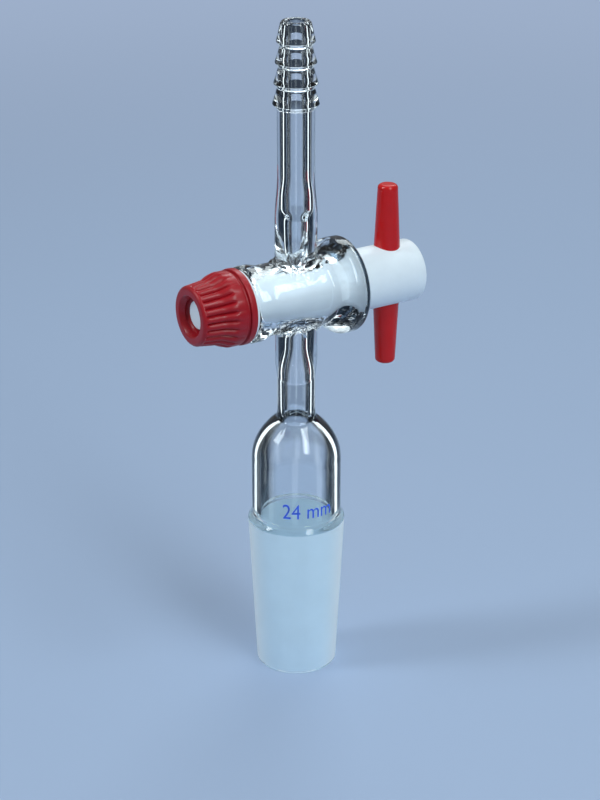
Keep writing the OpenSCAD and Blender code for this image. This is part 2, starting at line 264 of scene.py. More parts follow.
class PlugSizes(PropertyGroup):
    seat_d: length("Seat diameter", "Diameter of the barrel's bore at the flow line", 12.5)
    seat_taper: number("Seat taper", "Length over which the seat's diameter falls by one", 5, 3)
    seat_gap: length("Seat gap", "Gap between the plug and its seat", 0.05)
    flow_bore: length("Flow bore", "Bore through the plug and at the seat", 2)
    head_edge: length("Head edge", "Radius of the head's outer edge", 0.7)
    tail_d: length("Tail diameter", "Diameter over the tail's thread", 8)
    tail_flats: length("Tail flats", "Width across the tail's two flats", 6.8)
    tail_edge: length("Tail edge", "Chamfer at the tail's end", 0.7)
    draw_in: length("Draw in", "Length by which the taper stops short of the barrel", 0.6)
    thread_pitch: length("Thread pitch", "Advance of the thread in one turn", 2)
    thread_depth: length("Thread depth", "Depth of the thread on the tail", 0.45)
    thread_gap: length("Thread gap", "Gap between the two threads", 0.1)


class HandleSizes(PropertyGroup):
    arm_root_d: length("Root diameter", "Diameter of an arm at the barrel's line", 7.1)
    arm_tip_d: length("Tip diameter", "Diameter of an arm at its tip", 5)
    arm_edge: length("Tip edge", "Radius of the edge at each tip", 1)
    bar_d: length("Bar diameter", "Diameter of the bar that joins the arms", 4.6)
    bar_gap: length("Bar gap", "Gap between the bar and its hole", 0.02)


class NutSizes(PropertyGroup):
    flange_t: length("Flange thickness", "Thickness of the flange next to the washer", 1.7)
    flange_edge: length("Flange edge", "Rounding on the flange and the band", 0.35)
    groove_depth: length("Groove depth", "Depth of the groove in front of the flange", 0.5)
    groove_w: length("Groove width", "Width of that groove", 0.7)
    grip_d: length("Band diameter", "Diameter of the smooth band behind the ribs", 18)
    band_w: length("Band width", "Width of that band with the ends of the ribs", 2.2)
    waist_len: length("Waist length", "Length over which the ribs curve in from the band", 4.4)
    waist_d: length("Waist diameter", "Diameter of the ribs in front of that curve", 15.4)
    nose_d: length("Nose diameter", "Diameter of the ribs at the narrow end", 14.5)
    nose_edge: length("Nose edge", "Radius of the nose's outer edge", 0.9)
    rib_count: IntProperty(name="Ribs", description="Number of ribs", default=24, min=8)
    rib_h: length("Rib height", "Depth of the furrows between the ribs", 0.75)
    mouth_d: length("Mouth diameter", "Diameter of the countersink at the nose", 10.2)
    mouth_depth: length("Mouth depth", "Depth of that countersink", 1.2)
    ring_seat_d: length("Ring seat", "Diameter of the recess for the sealing ring", 11.8)
    ring_seat_depth: length("Ring seat depth", "Depth of that recess", 1.8)


class MarkSizes(PropertyGroup):
    words: StringProperty(name="Mark", default="24 mm",
                          description="Plain size of the cone, printed on the glass")
    height: length("Mark height", "Height of the figures", 3.9)
    narrow: number("Mark width", "Width of the figures as a share of their usual width", 0.84, 0.2,
                   subtype="FACTOR")
    foot_z: length("Mark foot", "Height of the mark's foot above the cone's foot", 44.3)
    turn: degrees("Mark turn", "Angle round the flow line of the mark's middle", -106)
    ink: length("Ink", "Thickness of the printed ink", 0.03)


class Finishes(PropertyGroup):
    glass: colour("Clear glass", "Tint of the clear glass", 0.958, 0.98, 1.0)
    # Painted shade: clear glass darkens towards this colour where it is seen edge on, standing in for the
    # dark surroundings that its edges show
    glass_edge_shade: colour("Glass edge", "Tint of the clear glass where it is seen edge on", 0.2, 0.27, 0.33)
    # Painted shade: the collar's rounded rim is glass tinted nearly black, standing in for the dark edge
    # line that refraction shows there
    rim: colour("Collar rim", "Tint of the collar's melted rim, which looks dark", 0.004, 0.008, 0.014)
    ground: colour("Ground glass", "Tint of the ground cone", 0.69, 0.88, 1.0)
    # Painted light: the ground cone turns paler towards this colour where it is seen edge on, as if lit
    # through from behind
    ground_edge_glow: colour("Ground edge", "Tint of the ground cone where it is seen edge on", 0.92, 0.99, 1.0)
    white: colour("White polymer", "Colour of the plug and the washer", 0.79, 0.88, 0.94)
    handle_red: colour("Handle red", "Colour of the handle", 0.52, 0.005, 0.005)
    nut_red: colour("Nut red", "Colour of the nut", 0.34, 0.005, 0.012)
    rubber: colour("Rubber", "Colour of the sealing ring", 0.012, 0.012, 0.013)
    ink: colour("Ink", "Colour of the printed mark", 0.03, 0.12, 0.78)
    floor: colour("Floor", "Colour of the floor", 0.34, 0.43, 0.59)


class StageSizes(PropertyGroup):
    camera_turn: degrees("Camera turn", "Angle of the camera round the flow line", -32)
    camera_tilt: degrees("Camera tilt", "Angle by which the camera looks down", 23.35)
    camera_back: length("Camera distance", "Level distance from the flow line to the camera", 473)
    camera_up: length("Camera height", "Height of the camera above the floor", 275.5)
    camera_side: length("Camera offset", "Distance of the camera to the right", 0.92)
    camera_lens: number("Lens", "Focal length on a 36 mm frame", 95.04, 10, unit="CAMERA")
    floor_size: length("Floor size", "Half the side of the floor", 6000)
    lamp_glow: number("Lamp glow", "Brightness of the lamps' faces", 11.9)
    fill: number("Fill", "Brightness of the room's even light", 0.3)


# Outlines of turned pieces, as points of radius and height

def quarter(radius, height, start, edge, steps):
    """Points on a quarter of a circle about a centre, from a starting angle in degrees."""
    turns = [math.radians(start + 90 * i / steps) for i in range(steps + 1)]
    return [(radius + edge * math.cos(turn), height + edge * math.sin(turn)) for turn in turns]


def round_foot(radius, height, edge, steps=CURVE_STEPS):
    """Points on the rounded edge from a flat lower face to a wall."""
    return quarter(radius - edge, height + edge, -90, edge, steps)


def round_top(radius, height, edge, steps=CURVE_STEPS):
    """Points on the rounded edge from a wall to a flat upper face."""
    return quarter(radius - edge, height - edge, 0, edge, steps)


def swell(start, end, steps=CURVE_STEPS):
    """Points on an S-shaped swelling from one outline point to another."""
    shares = [i / steps for i in range(steps + 1)]
    return [(start[0] + (end[0] - start[0]) * (1 - math.cos(math.pi * t)) / 2,
             start[1] + (end[1] - start[1]) * t) for t in shares]


def bend(start, corner, end, steps=CURVE_STEPS):
    """Points on a curve that leaves start and reaches end along the lines to a corner."""
    shares = [i / steps for i in range(steps + 1)]
    return [tuple((1 - t) ** 2 * p + 2 * t * (1 - t) * c + t ** 2 * q
                  for p, c, q in zip(start, corner, end)) for t in shares]


def towards(point, goal, reach):
    """The point that lies a short reach from one outline point towards another."""
    step = Vector(goal) - Vector(point)
    return tuple(Vector(point) + step * min(CORNER_SHARE, reach / step.length))


def soften(points, reach):
    """The same outline with each inner corner rounded over a short reach."""
    rounded = [points[0]]
    for before, corner, after in zip(points, points[1:], points[2:]):
        rounded += bend(towards(corner, before, reach), corner, towards(corner, after, reach),
                        CORNER_STEPS)
    return rounded + [points[-1]]


def spaced(start, end, step):
    """Points on a straight line, no further apart than a step, without its first point."""
    count = max(1, math.ceil((Vector(end) - Vector(start)).length / step))
    return [tuple(Vector(start).lerp(Vector(end), i / count)) for i in range(1, count + 1)]


# Turning, placing and joining of solids

def turned(outline, sides, closed=False):
    """A solid turned about Z. An open outline starts and ends on the axis."""
    solid = bmesh.new()
    points = [solid.verts.new((radius, 0, height)) for radius, height in outline]
    pairs = list(zip(points, points[1:]))
    if closed:
        pairs.append((points[-1], points[0]))
    lines = [solid.edges.new(pair) for pair in pairs]
    bmesh.ops.spin(solid, geom=points + lines, cent=(0, 0, 0), axis=(0, 0, 1), dvec=(0, 0, 0),
                   angle=math.tau, steps=sides, use_merge=True)
    bmesh.ops.remove_doubles(solid, verts=solid.verts, dist=MERGE)
    bmesh.ops.recalc_face_normals(solid, faces=solid.faces)
    return solid


def placed(solid, matrix):
    """The solid itself, moved to its place."""
    bmesh.ops.transform(solid, matrix=matrix, verts=solid.verts)
    return solid


def on_barrel(solid, start=0.0, way=1):
    """Lays a solid that was turned about Z along the barrel; way is 1 towards the handle, -1 to the nut."""
    place = Matrix.Translation((start, 0, BARREL_Z)) @ Matrix.Rotation(way * math.pi / 2, 4, "Y")
    return placed(solid, place)


def from_barrel(point):
    """Distance of a point from the barrel's line."""
    return math.hypot(point.y, point.z - BARREL_Z)


def clamped(value):
    """A value kept between 0 and 1."""
    return max(0.0, min(1.0, value))


def rod(diameter, start, end, sides=ROD_SIDES):
    """A plain rod on the Z axis, for round holes and the handle's bar."""
    radius = diameter / 2
    return turned([(0, start), (radius, start), (radius, end), (0, end)], sides)


def block(low, high):
    """A plain block between two corners, used to cut flats."""
    solid = bmesh.new()
    size = Vector(high) - Vector(low)
    place = Matrix.Translation((Vector(low) + Vector(high)) / 2) @ Matrix.Diagonal((*size, 1))
    bmesh.ops.create_cube(solid, size=1, matrix=place)
    return solid


def add_object(name, data):
    """A new object in the scene. A solid becomes its mesh and is used up."""
    if isinstance(data, bmesh.types.BMesh):
        mesh = bpy.data.meshes.new(name)
        data.to_mesh(mesh)
        data.free()
        data = mesh
    item = bpy.data.objects.new(name, data)
    bpy.context.scene.collection.objects.link(item)
    return item


def evaluated(holder):
    """The solid that an object shows after its modifiers."""
    graph = bpy.context.evaluated_depsgraph_get()
    mesh = bpy.data.meshes.new_from_object(holder.evaluated_get(graph))
    solid = bmesh.new()
    solid.from_mesh(mesh)
    bpy.data.meshes.remove(mesh)
    return solid


def combined(base, *steps):
    """One closed solid from a base and solids that are joined to it or cut from it in turn."""
    holder = add_object("base", base)
    tools = []
    for operation, solid in steps:
        tool = add_object(operation.lower(), solid)
        modifier = holder.modifiers.new(tool.name, "BOOLEAN")
        modifier.operation = operation
        modifier.solver = "MANIFOLD"
        modifier.object = tool
        tools.append(tool)
    result = evaluated(holder)
    for item in (holder, *tools):
        mesh = item.data
        bpy.data.objects.remove(item)
        bpy.data.meshes.remove(mesh)
    if not result.faces or any(not edge.is_manifold for edge in result.edges):
        raise RuntimeError("a joined solid is not closed")
    return result


def add_piece(name, solid, materials, body):
    """A smooth-shaded piece of the object that rides on a body of the frame."""
    piece = add_object(name, solid)
    for material in materials:
        piece.data.materials.append(material)
    piece.data.shade_smooth()
    piece.data.set_sharp_from_angle(angle=SHARP_ANGLE)
    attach(piece, body)
    return piece


# Node helpers

def add_node(tree, kind, **values):
    """A node with its options set; a socket's value is given by the socket's name or number."""
    node = tree.nodes.new(kind)
    for key, value in values.pop("sockets", {}).items():
        node.inputs[key].default_value = value
    for key, value in values.items():
        setattr(node, key, value)
    return node


def feed(tree, sockets, values):
    """Gives each socket a number, a plain colour or another node's output."""
    for socket, value in zip(sockets, values):
        if isinstance(value, bpy.types.NodeSocket):
            tree.links.new(value, socket)
        else:
            socket.default_value = value if isinstance(value, (int, float)) else (*value, 1)


def calculate(tree, operation, *values):
    """The output of a Math node."""
    node = add_node(tree, "ShaderNodeMath", operation=operation)
    feed(tree, node.inputs, values)
    return node.outputs[0]


def remapped(tree, value, low, high, new_low, new_high, smooth=False):
    """The output of a Map Range node that carries a value from one range to another."""
    node = add_node(tree, "ShaderNodeMapRange")
    node.interpolation_type = "SMOOTHSTEP" if smooth else "LINEAR"
    feed(tree, node.inputs, (value, low, high, new_low, new_high))
    return node.outputs[0]


def mixed_colour(tree, share, first, second):
    """The output of a Mix node between two colours."""
    node = add_node(tree, "ShaderNodeMix", data_type="RGBA")
    colours = [socket for socket in node.inputs if socket.type == "RGBA"]
    feed(tree, [node.inputs["Factor"], *colours], (share, first, second))
    return next(socket for socket in node.outputs if socket.type == "RGBA")


def mixed_shader(tree, share, first, second):
    """The output of a Mix Shader node."""
    node = tree.nodes.new("ShaderNodeMixShader")
    feed(tree, node.inputs, (share, first, second))
    return node.outputs[0]


def new_group(name, inputs, outputs):
    """An empty shader node group, with the nodes that stand for its inputs and outputs."""
    group = bpy.data.node_groups.new(name, "ShaderNodeTree")
    for label, kind, default in inputs:
        socket = group.interface.new_socket(label, in_out="INPUT", socket_type=kind)
        if default is not None:
            socket.default_value = default
    for label in outputs:
        group.interface.new_socket(label, in_out="OUTPUT", socket_type="NodeSocketFloat")
    return group, group.nodes.new("NodeGroupInput"), group.nodes.new("NodeGroupOutput")


def handled_grain():
    """Node group: soft mottling and a fine grain, as on any surface that was made and handled."""
    name = "handled_grain"
    if name in bpy.data.node_groups:
        return bpy.data.node_groups[name]
    group, given, result = new_group(
        name, [("Mottle Scale", "NodeSocketFloat", 200.0), ("Grain Scale", "NodeSocketFloat", 3000.0)],
        ["Mottle", "Grain"])
    place = group.nodes.new("ShaderNodeTexCoord")
    for label, scale, detail in (("Mottle", "Mottle Scale", 3.0), ("Grain", "Grain Scale", 2.0)):
        cloud = add_node(group, "ShaderNodeTexNoise", sockets={"Detail": detail, "Roughness": 0.55})
        group.links.new(place.outputs["Object"], cloud.inputs["Vector"])
        group.links.new(given.outputs[scale], cloud.inputs["Scale"])
        group.links.new(remapped(group, cloud.outputs["Fac"], 0.3, 0.7, 0.0, 1.0), result.inputs[label])
    return group


def studio_strips():
    """Node group: upright strips by the compass angle of a vector, in degrees."""
    name = "studio_strips"
    if name in bpy.data.node_groups:
        return bpy.data.node_groups[name]
    angles = [(label, "NodeSocketFloat", 0.0) for label in ("Turn", "Period", "Edge", "Blur")]
    group, given, result = new_group(name, [("Vector", "NodeSocketVector", None), *angles], ["Strip"])
    parts = group.nodes.new("ShaderNodeSeparateXYZ")
    group.links.new(given.outputs["Vector"], parts.inputs[0])
    angle = calculate(group, "ARCTAN2", parts.outputs["Y"], parts.outputs["X"])
    angle = calculate(group, "SUBTRACT", calculate(group, "DEGREES", angle), given.outputs["Turn"])
    half = calculate(group, "MULTIPLY", given.outputs["Period"], 0.5)
    folded = calculate(group, "PINGPONG", angle, half)
    inner = calculate(group, "SUBTRACT", given.outputs["Edge"], given.outputs["Blur"])
    outer = calculate(group, "ADD", given.outputs["Edge"], given.outputs["Blur"])
    group.links.new(remapped(group, folded, inner, outer, 1.0, 0.0, smooth=True), result.inputs["Strip"])
    return group


def add_group(tree, group, **values):
    """A group node in a material, with its own values."""
    node = add_node(tree, "ShaderNodeGroup", node_tree=group)
    for key, value in values.items():
        node.inputs[key.replace("_", " ").title()].default_value = value
    return node


def new_material(name, **sockets):
    """A material and its Principled node, with constant values on the node's own sockets."""
    material = bpy.data.materials.new(name)
    material.use_nodes = True
    tree = material.node_tree
    shader = tree.nodes["Principled BSDF"]
    for label, value in sockets.items():
        shader.inputs[label.replace("_", " ").title().replace("Ior", "IOR")].default_value = value
    return material, tree, shader


def add_bump(tree, shader, height, strength, distance):
    """Feeds a height into the shader's normal."""
    bump = add_node(tree, "ShaderNodeBump", sockets={"Strength": strength, "Distance": distance})
    tree.links.new(height, bump.inputs["Height"])
    tree.links.new(bump.outputs["Normal"], shader.inputs["Normal"])


def shaded(base, factor):
    """A colour made lighter or darker by a factor."""
    return tuple(min(1.0, channel * factor) for channel in base)


def painted_edge_shade_and_light(tree, span, face_on, painted_edge_colour):
    """Painted edge shade and light: a colour that changes over a span of angles, from where it is seen face
    on to where it is edge on.
    """
    facing = tree.nodes.new("ShaderNodeLayerWeight").outputs["Facing"]
    share = remapped(tree, facing, *span, 0.0, 1.0, smooth=True)
    return mixed_colour(tree, share, face_on, painted_edge_colour)


def grained_material(name, scales, tints, gloss, gloss_by="Mottle", **sockets):
    """A material whose tint and roughness vary softly, and the fine grain for its surface.

    Scales are those of the mottling and the grain. Gloss holds the lowest and the highest roughness.
    """
    material, tree, shader = new_material(name, **sockets)
    grain = add_group(tree, handled_grain(), mottle_scale=scales[0], grain_scale=scales[1])
    tint = mixed_colour(tree, grain.outputs["Mottle"], *tints)
    roughness = remapped(tree, grain.outputs[gloss_by], 0, 1, *gloss)
    tree.links.new(tint, shader.inputs["Base Color"])
    tree.links.new(roughness, shader.inputs["Roughness"])
    return material, tree, shader, grain.outputs["Grain"]


def let_lamps_through(tree, shader, share):
    """Rays from the lamps cross this surface with a share of their light, and reach what is inside."""
    path = tree.nodes.new("ShaderNodeLightPath")
    clear = add_node(tree, "ShaderNodeBsdfTransparent", sockets={"Color": (share, share, share, 1)})
    surface = mixed_shader(tree, path.outputs["Is Shadow Ray"], shader.outputs[0], clear.outputs[0])
    tree.links.new(surface, tree.nodes["Material Output"].inputs["Surface"])


# Finishes

def clear_glass(name, face_on, painted_edge_colour):
    """Clear glass with the faint waviness of drawn tube; painted shade darkens it where it is seen edge on,
    in place of the dark surroundings that a glass edge shows.
    """
    material, tree, shader = new_material(name, roughness=0.0, ior=GLASS_IOR, transmission_weight=1.0)
    grain = add_group(tree, handled_grain(), mottle_scale=90)
    add_bump(tree, shader, grain.outputs["Mottle"], 0.05, WAVE_DEPTH)
    tint = painted_edge_shade_and_light(tree, (0.5, 0.95), face_on, painted_edge_colour)
    tree.links.new(tint, shader.inputs["Base Color"])
    let_lamps_through(tree, shader, share=0.58)
    return material


def ground_glass(finishes):
    """Ground glass: milky, with painted light that makes it paler where it is seen edge on, as if lit
    through from behind, and with a fine tooth and smoother patches.
    """
    material, tree, shader, grain = grained_material(
        "ground_glass", (120, 5200), (shaded(finishes.ground, 0.95), finishes.ground), (0.42, 0.52),
        ior=GLASS_IOR, transmission_weight=0.14, sheen_weight=0.3, sheen_roughness=0.35,
        sheen_tint=(0.6, 0.85, 1.0, 1.0))
    face_on = shader.inputs["Base Color"].links[0].from_socket
    # Painted light: paler edges, as if the cone were lit through from behind
    tint = painted_edge_shade_and_light(tree, (0.25, 0.85), face_on, finishes.ground_edge_glow)
    tree.links.new(tint, shader.inputs["Base Color"])
    add_bump(tree, shader, grain, 0.3, GRAIN_DEPTH)
    let_lamps_through(tree, shader, share=0.85)
    return material


def turned_white(finishes):
    """White polymer off the lathe: satin, with fine rings along the barrel's line."""
    material, tree, shader, grain = grained_material(
        "turned_white", (260, 2600), (shaded(finishes.white, 0.96), finishes.white), (0.34, 0.46),
        ior=1.38, subsurface_weight=0.12, subsurface_radius=(1, 1, 1), subsurface_scale=0.8 * MM)
    place = tree.nodes.new("ShaderNodeTexCoord")
    rings = add_node(tree, "ShaderNodeTexWave", wave_type="BANDS", bands_direction="X",
                     sockets={"Scale": 900.0, "Distortion": 1.5, "Detail": 2.0, "Detail Scale": 0.6})
    tree.links.new(place.outputs["Object"], rings.inputs["Vector"])
    height = calculate(tree, "MULTIPLY_ADD", rings.outputs["Fac"], 0.6, grain)
    add_bump(tree, shader, height, 0.12, GRAIN_DEPTH)
    return material


def moulded_red(name, base, gloss):
    """Moulded plastic with a slight orange peel."""
    material, tree, shader, grain = grained_material(
        name, (320, 1500), (shaded(base, 0.96), shaded(base, 1.03)), gloss, ior=1.42)
    add_bump(tree, shader, grain, 0.05, GRAIN_DEPTH)
    return material


def ring_rubber(finishes):
    """Black rubber with a dull bloom."""
    material, tree, shader, grain = grained_material(
        "ring_rubber", (500, 4000), (finishes.rubber, shaded(finishes.rubber, 1.8)), (0.5, 0.7), ior=1.5)
    add_bump(tree, shader, grain, 0.2, GRAIN_DEPTH)
    return material


def printed_ink(finishes):
    """Fired blue ink, a little uneven."""
    tints = (shaded(finishes.ink, 0.85), shaded(finishes.ink, 1.2))
    return grained_material("printed_ink", (900, 6000), tints, (0.4, 0.6), gloss_by="Grain", ior=1.5)[0]


# The glass

def glass_heights(g):
    """Heights along the flow line, stacked up from the foot of the cone."""
    dome = g.cone_len + g.body_h
    neck = dome + g.dome_h + g.neck_flare_h
    low_seal = neck + g.neck_h + g.seal_len / 2
    high_seal = low_seal + 2 * g.stub_reach
    hose = high_seal + g.seal_len
    barbs = hose + g.hose_h + g.barb_under
    tip = barbs + g.barb_count * g.barb_pitch
    return SimpleNamespace(dome=dome, neck=neck, low_seal=low_seal, high_seal=high_seal,
                           hose=hose, barbs=barbs, tip=tip)


def cone_foot_r(g):
    """Radius of the cone at its foot."""
    return (g.cone_d - g.cone_len / g.cone_taper) / 2


def dome_slope(g):
    """Fall of the dome's slope at its top for each step outwards."""
    return (g.dome_h - g.shoulder_h) / (g.body_d / 2 - g.neck_d / 2 - g.neck_flare_w)


def under_slope(g, z, radius):
    """The point one wall under the dome's slope, at a distance from the flow line."""
    out = radius - g.neck_d / 2 - g.neck_flare_w
    slope = dome_slope(g)
    return radius, z.dome + g.dome_h - out * slope - g.cone_wall * math.hypot(1, slope)


def lower_outline(g, z):
    """Ground cone, step, body, dome, neck and lower stub, up into the barrel."""
    foot_r, body_r, neck_r, stub_r = cone_foot_r(g), g.body_d / 2, g.neck_d / 2, g.stub_d / 2
    dome_edge = (neck_r + g.neck_flare_w, z.dome + g.dome_h)
    neck_corner = (neck_r, dome_edge[1] + g.neck_flare_w * dome_slope(g))
    half_seal = g.seal_len / 2
    return [(0, 0),
            *round_foot(foot_r, 0, g.rim_r),
            *swell((g.cone_d / 2, g.cone_len), (body_r, g.cone_len + g.step_h)),
            *bend((body_r, z.dome), (body_r, z.dome + g.shoulder_h), dome_edge),
            *bend(dome_edge, neck_corner, (neck_r, z.neck))[1:],
            *swell((neck_r, z.low_seal - half_seal), (stub_r, z.low_seal + half_seal)),
            (stub_r, BARREL_Z + CUT), (0, BARREL_Z + CUT)]


def barb_points(g, z):
    """Corners of the barbs, from the hose tube to the tip."""
    span = g.barb_count - 1
    widest = [(g.barb_low_d + (g.barb_top_d - g.barb_low_d) * k / span) / 2 for k in range(span + 1)]
    corners = []
    for k, radius in enumerate(widest):
        foot = z.barbs + k * g.barb_pitch
        corners.append((radius, foot))
        if k < span:
            corners.append((widest[k + 1] - g.barb_step, foot + g.barb_pitch - g.barb_under))
    return corners


def upper_outline(g, z):
    """Upper stub, hose tube and barbs, from inside the barrel to the tip."""
    hose_r = g.hose_d / 2
    tip = [(hose_r, z.hose + 2 * g.seal_len), (hose_r, z.barbs - g.barb_under), *barb_points(g, z),
           (g.tip_d / 2 + g.tip_edge, z.tip - g.tip_edge), (g.tip_d / 2, z.tip),
           ((g.tip_d + g.hose_bore) / 4, z.tip)]
    return [(0, BARREL_Z - CUT), (g.stub_d / 2, BARREL_Z - CUT),
            *swell((g.stub_d / 2, z.high_seal - g.bore_step), (hose_r, z.hose + g.seal_len)),
            *soften(tip, g.barb_round), (0, z.tip)]


def barrel_outline(g):
    """The barrel along its own line, from the nut's end to the handle's end."""
    barrel_r, lip_r, collar_r = g.barrel_d / 2, g.nut_lip_d / 2, g.collar_d / 2
    fade_end = g.nut_lip_len + g.nut_lip_fade - g.nut_end
    flare_start = g.handle_end - g.collar_len - g.flare_len
    return [(0, -g.nut_end),
            *round_foot(lip_r, -g.nut_end, g.edge_r),
            *swell((lip_r, g.nut_lip_len - g.nut_end), (barrel_r, fade_end)),
            *spaced((barrel_r, fade_end), (barrel_r, flare_start), BARREL_SPACING)[:-1],
            *swell((barrel_r, flare_start), (collar_r, g.handle_end - g.collar_len)),
            # The collar's straight part ends where the painted dark band on its rim begins
            (collar_r, g.handle_end - g.edge_r - g.rim_shade_width),
            *round_top(collar_r, g.handle_end, g.edge_r),
            (0, g.handle_end)]


def seat_r(p, x):
    """Radius of the tapered seat at a distance along the barrel."""
    return (p.seat_d + x / p.seat_taper) / 2


def plug_r(p, x):
    """Radius of the plug at a distance along the barrel."""
    return seat_r(p, x) - p.seat_gap


def lower_hollow(g, p, z):
    """The hollow of the cone, the body and the neck, up into the seat."""
    foot_r, top_r, body_r = (r - g.cone_wall for r in (cone_foot_r(g), g.cone_d / 2, g.body_d / 2))
    neck_r, low_r, throat_r = g.neck_bore / 2, g.low_bore / 2, g.throat_bore / 2
    dome_edge = under_slope(g, z, neck_r + g.neck_flare_w)
    throat_start, throat_end = z.low_seal + 1.4 * g.seal_len, z.low_seal + 1.6 * g.seal_len
    return [(0, -CUT), (foot_r + g.rim_r + CUT, -CUT),
            *bend((foot_r + g.rim_r / 2, 0), (foot_r, 0),
                  (foot_r + g.rim_r / g.cone_taper / 2, g.rim_r)),
            *swell((top_r, g.cone_len), (body_r, g.cone_len + g.step_h)),
            *bend((body_r, z.dome), under_slope(g, z, body_r), dome_edge),
            *bend(dome_edge, under_slope(g, z, neck_r), (neck_r, z.neck))[1:],
            *swell((neck_r, z.low_seal - 3 * g.bore_step), (low_r, z.low_seal - 2 * g.bore_step),
                   CORNER_STEPS),
            *swell((low_r, z.low_seal - g.bore_step), (throat_r, throat_start)),
            *bend((throat_r, throat_end), (throat_r, BARREL_Z - g.barrel_d / 2),
                  (p.flow_bore / 2, BARREL_Z - p.seat_d / 2)),
            (p.flow_bore / 2, BARREL_Z - 2 * CUT),
            (0, BARREL_Z - 2 * CUT)]


def upper_hollow(g, p, z):
    """The bore from the seat through the upper stub and the hose tube."""
    hose_r, high_r, wide_r = g.hose_bore / 2, g.high_bore / 2, g.swell_bore / 2
    return [(0, BARREL_Z + 2 * CUT), (p.flow_bore / 2, BARREL_Z + 2 * CUT),
            *bend((p.flow_bore / 2, BARREL_Z + p.seat_d / 2), (high_r, BARREL_Z + g.barrel_d / 2),
                  (high_r, z.high_seal - g.seal_len)),
            *swell((high_r, z.high_seal - g.bore_step), (wide_r, z.high_seal + 2 * g.bore_step)),
            *swell((wide_r, z.hose - g.bore_step), (hose_r, z.hose + g.seal_len)),
            *bend((hose_r, z.tip - g.tip_edge), (hose_r, z.tip), (hose_r + g.tip_edge, z.tip + MERGE),
                  CORNER_STEPS),
            (hose_r + g.tip_edge, z.tip + CUT), (0, z.tip + CUT)]


def seat_hollow(g, p):
    """The tapered seat through the barrel."""
    ends = (-g.nut_end - CUT, g.handle_end + CUT)
    return [(0, ends[0]), *[(seat_r(p, x), x) for x in ends], (0, ends[1])]


def ripple(point, seed):
    """Uneven waves of melted glass at a point, from about -1 to 1."""
    shift = Vector((seed, 0, 0))
    return sum(height * noise.noise(point * scale + shift) for scale, height in RIPPLES)


def melted_body(g, z):
    """The cone, the body and the neck, with long waves in the seal where the neck meets the dome."""
    solid = turned(lower_outline(g, z), GLASS_SIDES)
    for vert in solid.verts:
        radius = vert.co.xy.length
        heat = math.exp(-((vert.co.z - z.neck + g.neck_flare_h) / NECK_HEAT) ** 2)
        if radius > g.neck_d / 4:
            wave = NECK_WAVES * g.seal_bead * heat * ripple(vert.co / 2, NECK_SEED)
            vert.co.xy *= 1 + wave / radius
    return solid


def melted_barrel(g):
    """The barrel, with the uneven skin that the seals' heat leaves round the stubs."""
    solid = on_barrel(turned(barrel_outline(g), GLASS_SIDES))
    for vert in solid.verts:
        heat = math.exp(-(vert.co.x / BARREL_HEAT_X) ** 2 - (vert.co.y / BARREL_HEAT_Y) ** 2)
        if from_barrel(vert.co) > BARREL_SKIN * g.barrel_d / 2:
            wave = BARREL_WAVES * g.seal_bead * heat * ripple(vert.co, BARREL_SEED)
            vert.co.z += math.copysign(wave, vert.co.z - BARREL_Z)
    return solid


def melted_seal(g, side):
    """The uneven fillet between a stub and the barrel; side is 1 for the upper stub."""
    barrel_r, stub_r, foot_r = g.barrel_d / 2, g.stub_d / 2, g.stub_d / 2 + g.seal_w
    wall = bend((stub_r - FILLET_SINK, g.seal_w), (stub_r, 0), (foot_r, -FILLET_SINK))
    root = [(foot_r - 2 * FILLET_SINK, -FILLET_ROOT), (0, -FILLET_ROOT)]
    solid = turned([(0, g.seal_w), *wall, *root], GLASS_SIDES)
    for vert in solid.verts:
        share = clamped((vert.co.xy.length - stub_r + FILLET_SINK) / (foot_r - stub_r))
        swelling = 0.0 if vert.co.z < -FILLET_ROOT / 2 else math.sin(math.pi * share)
        lift = g.seal_bead * swelling * (FILLET_SWELLING + ripple(vert.co, FILLET_SEED * side))
        vert.co.z = math.sqrt(barrel_r ** 2 - vert.co.y ** 2) + vert.co.z + lift
    flip = Matrix.Scale(side, 4, (0, 0, 1))
    placed(solid, Matrix.Translation((0, 0, BARREL_Z)) @ flip)
    bmesh.ops.recalc_face_normals(solid, faces=solid.faces)
    return solid


class STOPCOCK_OT_glass(Operator):
    """Melts the cone, the body, the barrel and the hose end into one piece of glass"""

    bl_idname = "stopcock.glass"
    bl_label = "Glass Body"

    def execute(self, context):
        g, p = context.scene.stopcock_glass, context.scene.stopcock_plug
        finishes = context.scene.stopcock_finishes
        z = glass_heights(g)
        solid = combined(
            melted_body(g, z),
            ("UNION", turned(upper_outline(g, z), GLASS_SIDES)),
            ("UNION", melted_barrel(g)),
            ("UNION", melted_seal(g, 1)),
            ("UNION", melted_seal(g, -1)),
            ("DIFFERENCE", turned(lower_hollow(g, p, z), GLASS_SIDES)),
            ("DIFFERENCE", turned(upper_hollow(g, p, z), GLASS_SIDES)),
            ("DIFFERENCE", on_barrel(turned(seat_hollow(g, p), GLASS_SIDES))))
        # The faces of the collar's rounded rim get the nearly black glass of a painted dark band, in place
        # of the dark edge that refraction shows
        rim_shade_start, rim_r = g.handle_end - g.edge_r - g.rim_shade_width, g.collar_d / 2 - g.edge_r
        for face in solid.faces:
            middle = face.calc_center_median()
            wall_r = cone_foot_r(g) + middle.z / g.cone_taper / 2 - g.cone_wall / 2
            on_cone = g.rim_r < middle.z < g.cone_len and middle.xy.length > wall_r
            on_rim_shade = middle.x > rim_shade_start and from_barrel(middle) > rim_r
            face.material_index = 1 if on_cone else 2 if on_rim_shade else 0
        looks = [clear_glass("wavy_glass", finishes.glass, finishes.glass_edge_shade),
                 ground_glass(finishes),
                 clear_glass("rim_glass", finishes.rim, finishes.glass_edge_shade)]
        piece = add_piece("melted_glass", solid, looks, "glass")
        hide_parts("glass_body")
        return {"FINISHED"}


